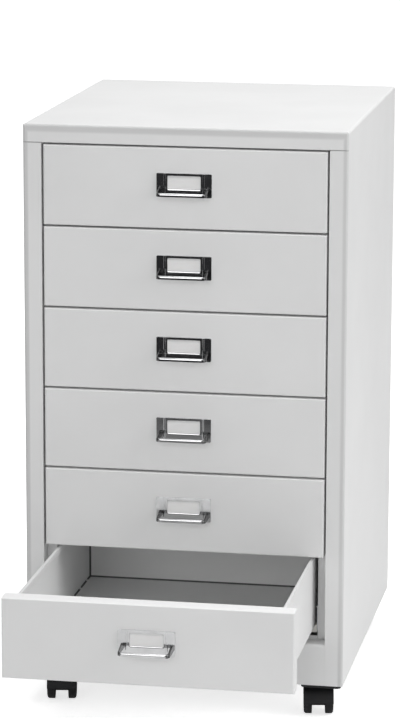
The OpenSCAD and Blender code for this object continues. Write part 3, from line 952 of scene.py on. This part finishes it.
@dataclass
class Drawer:
    """One drawer: its front, tray, shoes, card and plated pull."""

    number: int
    window_w: float = 40.8 * MM
    window_h: float = 16 * MM
    window_drop: float = 3.3 * MM
    lip: float = 1.6 * MM
    lip_steps: int = 5
    corner_r: float = 1.5 * MM
    corner_steps: int = 6
    sheet: float = 0.7 * MM
    frame_d: float = 1.4 * MM
    frame_edge: float = 0.15 * MM
    frame_hold: float = 0.08 * MM
    frame_bevel: float = 0.3
    bead_w: float = 2.4 * MM
    bead_d: float = 0.5 * MM
    bead_gap: float = 3.7 * MM
    bead_sunk: float = 0.05 * MM
    bead_inset: float = 0.4 * MM
    bead_steps: int = 10
    grip_w: float = 62 * MM
    grip_r: float = 6 * MM
    grip_t: float = 2.0 * MM
    grip_h: float = 4.4 * MM
    grip_root_h: float = 10 * MM
    grip_sunk: float = 0.2 * MM
    grip_drop: float = 8.9 * MM
    grip_rise: float = 2.6 * MM
    grip_reach: float = 24 * MM
    grip_crown: float = 2.4 * MM
    grip_edge: float = 0.12 * MM
    grip_hold: float = 0.1 * MM
    arm_steps: int = 6
    bend_steps: int = 8
    crown_steps: int = 6
    bar_hold: float = 1 * MM
    sharp: float = 40.0

    def node(self, part: str) -> str:
        """The name of one of the drawer's nodes."""
        return f"drawer_{self.number}_{part}"

    def build(self, finishes: Finishes) -> None:
        """Dresses the drawer and builds its pull.

        Args:
            finishes: The materials.
        """
        dress(self.node("front"), finishes.front(self.node("front")))
        dress(self.node("tray"), finishes.tray(self.node("tray")))
        dress(self.node("shoes"), finishes.nylon)
        dress(self.node("card"), finishes.card)
        self.pull(finishes.pull(self.node("pull"), self.frame_d))

    def pull(self, material: bpy.types.Material) -> None:
        """Builds the pressed label frame and its grip as one plated piece.

        Args:
            material: The plating.
        """
        low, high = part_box(self.node("pull"))
        middle = Vector(((low.x + high.x) / 2, high.y, (low.z + high.z) / 2))
        shell = Shell(f"drawer_{self.number}_plated_pull")
        self.label_frame(shell, middle, (high.x - low.x) / 2, (high.z - low.z) / 2)
        for side in Side:
            self.bead(shell, middle, side.value * (self.window_w / 2 + self.bead_gap),
                      high.z - middle.z - self.bead_inset)
        self.grip(shell, middle)
        settle(shell.finish(material, self.sharp), f"drawer_{self.number}",
               self.node("pull"))

    def label_frame(self, shell: Shell, middle: Vector, half_w: float, half_h: float) -> None:
        """Lofts the frame from its outer skirt over its face and into the window.

        Args:
            shell: The mesh to build in.
            middle: The frame's middle on the drawer front.
            half_w: Half the frame's width.
            half_h: Half the frame's height.
        """
        win_w = self.window_w / 2
        win_h = self.window_h / 2
        win_z = half_h - self.window_drop - win_h
        depth = self.frame_d
        sheet = self.sheet
        edge = self.frame_edge
        hold = self.frame_hold
        bevel = self.frame_bevel * edge
        rim = edge + hold
        skirt = [(0.0, 0.0), (0.0, rim - depth), (0.0, edge - depth), (bevel, bevel - depth),
                 (edge, -depth), (rim, -depth)]
        back = [(sheet, sheet - depth), (sheet, 0.0)]
        loops = [self.ring(middle, half_w - inset, half_h - inset, 0.0, y) for inset, y in skirt]
        loops.append(self.ring(middle, win_w + rim, win_h + rim + self.lip / 2, win_z - self.lip / 2,
                               -depth))
        for a in quarter_turn(self.lip_steps):
            out = edge * (1.0 - math.sin(a))
            down = self.lip * (1.0 - math.sin(a))
            loops.append(self.ring(middle, win_w + out, win_h + out + down / 2, win_z - down / 2,
                                   (sheet - hold) * (1.0 - math.cos(a)) - depth))
        loops.append(self.ring(middle, win_w, win_h, win_z, sheet - depth))
        loops += [self.ring(middle, half_w - inset, half_h - inset, 0.0, y) for inset, y in back]
        shell.loft(loops, closed=True)

    def ring(self, middle: Vector, half_w: float, half_h: float, lift: float, y: float) -> Loop:
        """Gives a round-cornered loop, lift over the frame's middle and y from the drawer front."""
        return [(middle.x + px, middle.y + y, middle.z + lift + pz)
                for px, pz in rounded_rectangle(half_w, half_h, self.corner_r, self.corner_steps)]

    def bead(self, shell: Shell, middle: Vector, x: float, half: float) -> None:
        """Presses an upright half-round bead into the frame's face, beside the window.

        Args:
            shell: The mesh to build in.
            middle: The frame's middle on the drawer front.
            x: The bead's distance from the middle.
            half: Half the bead's height.
        """
        face = middle.y + self.bead_sunk - self.frame_d
        angles = [math.pi * k / self.bead_steps for k in range(self.bead_steps + 1)]
        loops = [[(middle.x + x + self.bead_w / 2 * math.cos(a), face - self.bead_d * math.sin(a),
                   middle.z + z) for a in angles] for z in (-half, half)]
        shell.loft(loops, caps=True)

    def grip(self, shell: Shell, middle: Vector) -> None:
        """Sweeps the grip strip round its two bends, narrowing from the frame to the bar.

        Args:
            shell: The mesh to build in.
            middle: The frame's middle on the drawer front.
        """
        half = self.grip_w / 2 - self.grip_t / 2
        bend = self.grip_r - self.grip_t / 2
        front = -self.grip_reach + self.grip_t / 2
        root = -self.frame_d + self.grip_sunk
        path = [(half, root + (front + bend - root) * k / self.arm_steps, 1.0, 0.0)
                for k in range(self.arm_steps + 1)]
        path += [(half - bend + bend * math.cos(a), front + bend - bend * math.sin(a), math.cos(a),
                  -math.sin(a)) for a in quarter_turn(self.bend_steps)[1:]]
        right = path + [(0.0, front, 0.0, -1.0)]
        left = [(-x, y, -nx, ny) for x, y, nx, ny in reversed(path)]
        bar_y = -self.grip_reach + self.grip_t + self.bar_hold
        loops = []
        for x, y, nx, ny in right + left:
            share = min(max((y - bar_y) / (root - bar_y), 0.0), 1.0)
            height = self.grip_h + (self.grip_root_h - self.grip_h) * share
            z = -self.grip_drop + self.grip_rise * share
            loops.append([(middle.x + x + nx * u, middle.y + y + ny * u, middle.z + z + v)
                          for u, v in self.strip_section(height)])
        shell.loft(loops, caps=True)

    def strip_section(self, height: float) -> Outline:
        """Draws the grip strip's section: flat faces under a crowned upper edge.

        Args:
            height: The strip's height there.

        Returns:
            The points, as distance towards the outer face and height.
        """
        half_t = self.grip_t / 2
        half_h = height / 2
        edge = self.grip_edge
        rim = self.grip_edge + self.grip_hold
        shoulder = half_h - self.grip_crown
        points = [(half_t - edge, -half_h), (half_t, edge - half_h), (half_t, rim - half_h),
                  (half_t, shoulder - self.grip_hold)]
        points += [(edge - half_t + (self.grip_t - edge) * math.cos(a),
                    shoulder + self.grip_crown * math.sin(a)) for a in quarter_turn(self.crown_steps)]
        points += [(-half_t, half_h - edge), (-half_t, half_h - rim), (-half_t, rim - half_h),
                   (-half_t, edge - half_h), (edge - half_t, -half_h)]
        return points


@dataclass
class Castor:
    """One twin-wheel castor: plate, hood with stem, axle and two wheels."""

    corner: Corner
    wheel_r: float = 19 * MM
    wheel_w: float = 10 * MM
    axle_r: float = 3 * MM
    play: float = 0.05 * MM
    segments: int = 64
    sharp: float = 32.0

    def node(self, part: str) -> str:
        """The name of one of the castor's nodes."""
        return f"castor_{self.corner.value}_{part}"

    def build(self, finishes: Finishes) -> None:
        """Dresses the castor and builds its wheels.

        Args:
            finishes: The materials.
        """
        dress(self.node("plate"), finishes.enamel)
        dress(self.node("axle"), finishes.zinc)
        dress(self.node("hood"), finishes.black)
        for side in Side:
            self.wheel(side, finishes.tyre)

    def wheel(self, side: Side, material: bpy.types.Material) -> None:
        """Turns one wheel about the axis of its joint.

        Args:
            side: Which wheel.
            material: The wheel's finish.
        """
        body = f"wheel_{self.corner.value}_{side.word}"
        joint = next(j for j in frame["joints"] if j["name"] == f"{body}_roll")
        axis = Vector(joint["axis"]).normalized() * side.value
        centre = Vector(joint["pos_m"]) - axis * (self.wheel_w / 2)
        shell = Shell(f"castor_{self.corner.value}_turned_wheel_{side.word}")
        shell.turn(self.wheel_section(), centre, axis, self.segments)
        settle(shell.finish(material, self.sharp), body,
               self.node(f"wheel_{side.word}"))

    def wheel_section(self) -> Outline:
        """Draws a wheel's section: its rounded tread, dished face and hub, and the hollow behind them.

        Returns:
            The points, as distance out along the axle and radius.
        """
        w = self.wheel_w
        r = self.wheel_r
        bore = self.axle_r + self.play
        tread = [(0.0, 3.2), (0.0, 0.7), (0.2, 0.2), (0.7, 0.0)]
        face = [(3.2, 0.0), (2.0, 0.25), (1.1, 0.9), (0.4, 1.9), (0.05, 3.1), (0.0, 4.2), (0.3, 5.4),
                (0.9, 6.2), (1.1, 7.5), (1.0, 10), (0.6, 11.2)]
        hub = [(w - 0.5 * MM, 6.2 * MM), (w - 0.5 * MM, bore), (0.4 * MM, bore), (0.4 * MM, 6.5 * MM)]
        hollow = [(w - 3.2 * MM, 6.8 * MM), (w - 3.2 * MM, r - 3.6 * MM), (w - 3.6 * MM, r - 3.2 * MM)]
        points = [(out * MM, r - drop * MM) for out, drop in tread]
        points += [(w - back * MM, r - drop * MM) for back, drop in face]
        return points + hub + hollow


@dataclass(frozen=True)
class Lamp:
    """A soft rectangular lamp: its place, its aim, its size in metres and its power in watts."""

    name: str
    place: Point
    aim: Point
    width: float
    height: float
    power: float

    def hang(self) -> None:
        """Adds the lamp to the scene."""
        data = bpy.data.lights.new(self.name, "AREA")
        data.shape = "RECTANGLE"
        data.size = self.width
        data.size_y = self.height
        data.energy = self.power
        turned = (Vector(self.aim) - Vector(self.place)).to_track_quat("-Z", "Y")
        made = stand(self.name, data)
        made.matrix_world = Matrix.Translation(self.place) @ turned.to_matrix().to_4x4()
        LOG.info("lamp %s", self.name)


@dataclass
class Studio:
    """The pale floor, the soft lights and the camera."""

    camera_place: Point = (0.7021, -3.8710, 1.2542)
    yaw: float = -0.1790
    pitch: float = 0.2063
    roll: float = -0.0027
    lens: float = 160.75
    sensor: float = 36.0
    lamps: tuple[Lamp, ...] = (
        Lamp("overhead_softbox", (0.35, 0.1, 2.7), (0.0, 0.05, 0.4), 2.2, 1.8, 38.0),
        Lamp("side_softbox", (2.5, -0.6, 1.6), (0.1, 0.1, 0.4), 1.8, 1.8, 29.0),
        Lamp("front_fill", (-0.6, -4.2, 1.6), (0.0, -0.1, 0.4), 2.4, 2.0, 40.5),
    )
    floor_size: float = 30.0
    floor_colour: Colour = (0.86, 0.86, 0.86)
    floor_roughness: float = 0.7
    floor_shine: float = 0.1
    floor_cloud: Layer = Layer(3.0, dulling=0.1)
    near_glow: float = 0.7
    glow_span: Span = (0.3, 0.8)
    mirrored_glow: float = 0.3
    sweep_end: float = -1.15
    sweep_w: float = 0.6
    sweep_colour: Colour = (0.03, 0.03, 0.032)
    sky_light: Colour = (0.24, 0.24, 0.242)
    sky_low: Colour = (0.12, 0.12, 0.125)
    sky_high: Colour = (0.95, 0.95, 0.95)
    sky_span: Span = (0.05, 0.6)

    def build(self) -> None:
        """Sets the camera, the floor, the lights and the world."""
        self.camera()
        self.floor()
        for lamp in self.lamps:
            lamp.hang()
        self.sky()

    def camera(self) -> None:
        """Places the camera where the photograph was taken from."""
        cos_yaw = math.cos(self.yaw)
        sin_yaw = math.sin(self.yaw)
        cos_roll = math.cos(self.roll)
        sin_roll = math.sin(self.roll)
        level = math.cos(self.pitch)
        forward = Vector((sin_yaw * level, cos_yaw * level, -math.sin(self.pitch)))
        level_right = Vector((cos_yaw, -sin_yaw, 0.0))
        level_down = forward.cross(level_right)
        right = level_right * cos_roll + level_down * sin_roll
        down = level_down * cos_roll - level_right * sin_roll
        data = bpy.data.cameras.new("camera")
        data.lens = self.lens
        data.sensor_width = self.sensor
        made = stand("camera", data)
        turned = Matrix((right, -down, -forward)).transposed()
        made.matrix_world = Matrix.Translation(self.camera_place) @ turned.to_4x4()
        bpy.context.scene.camera = made
        LOG.info("camera placed")

    def floor(self) -> None:
        """Lays the floor, which falls dark far in front where only plated parts mirror it."""
        half = self.floor_size / 2
        corners = [(-half, -half, 0), (half, -half, 0), (half, half, 0), (-half, half, 0)]
        data = bpy.data.meshes.new("floor")
        data.from_pydata(corners, [], [(0, 1, 2, 3)])
        made = stand("floor", data)
        material = bpy.data.materials.new("pale_floor")
        graph = Graph.of(material)
        place = graph.coordinates("Object")
        shown, mirrored = graph.rays()
        length = graph.node("ShaderNodeVectorMath", {"operation": "LENGTH"}, i0=place)
        away = graph.wire(length, "Value").ramp(*self.glow_span)
        cloud = self.floor_cloud.over(graph, place)
        paint = graph.node("ShaderNodeBsdfPrincipled", Base_Color=self.floor_colour,
                           Roughness=self.floor_roughness + self.floor_cloud.dulling * cloud,
                           Specular_IOR_Level=self.floor_shine)
        strength = self.near_glow + (1.0 - self.near_glow) * away
        glow = graph.node("ShaderNodeEmission", Color=WHITE,
                          Strength=(shown + self.mirrored_glow * mirrored) * strength)
        lit = graph.node("ShaderNodeAddShader", i0=paint.outputs[0], i1=glow.outputs[0])
        dark = graph.node("ShaderNodeEmission", Color=self.sweep_colour)
        far = graph.split(place)[1].ramp(self.sweep_end, self.sweep_end - self.sweep_w) * mirrored
        both = graph.node("ShaderNodeMixShader", Fac=far, i1=lit.outputs[0], i2=dark.outputs[0])
        graph.node("ShaderNodeOutputMaterial", Surface=both.outputs[0])
        data.materials.append(material)
        LOG.info("floor laid")

    def sky(self) -> None:
        """Makes the world: white to the camera, soft grey as light, dim low down in plated parts."""
        world = bpy.data.worlds.new("studio")
        bpy.context.scene.world = world
        graph = Graph.of(world)
        height = graph.split(graph.coordinates("Generated"))[2]
        shown, mirrored = graph.rays()
        tone = graph.mix(height.ramp(*self.sky_span), self.sky_low, self.sky_high)
        soft = graph.mix(mirrored, self.sky_light, tone)
        back = graph.node("ShaderNodeBackground", Color=graph.mix(shown, soft, WHITE), Strength=1.0)
        graph.node("ShaderNodeOutputWorld", Surface=back.outputs[0])


def main() -> None:
    """Builds the studio, the finishes and the cabinet's sub-assemblies in order."""
    logging.basicConfig(level=logging.INFO, format="%(name)s: %(message)s")
    bpy.context.scene.view_settings.view_transform = "Standard"
    Studio().build()
    finishes = Finishes()
    Carcass().build(finishes)
    for number in range(1, DRAWERS + 1):
        Drawer(number).build(finishes)
    for corner in Corner:
        Castor(corner).build(finishes)


if __name__ == "__main__":
    main()
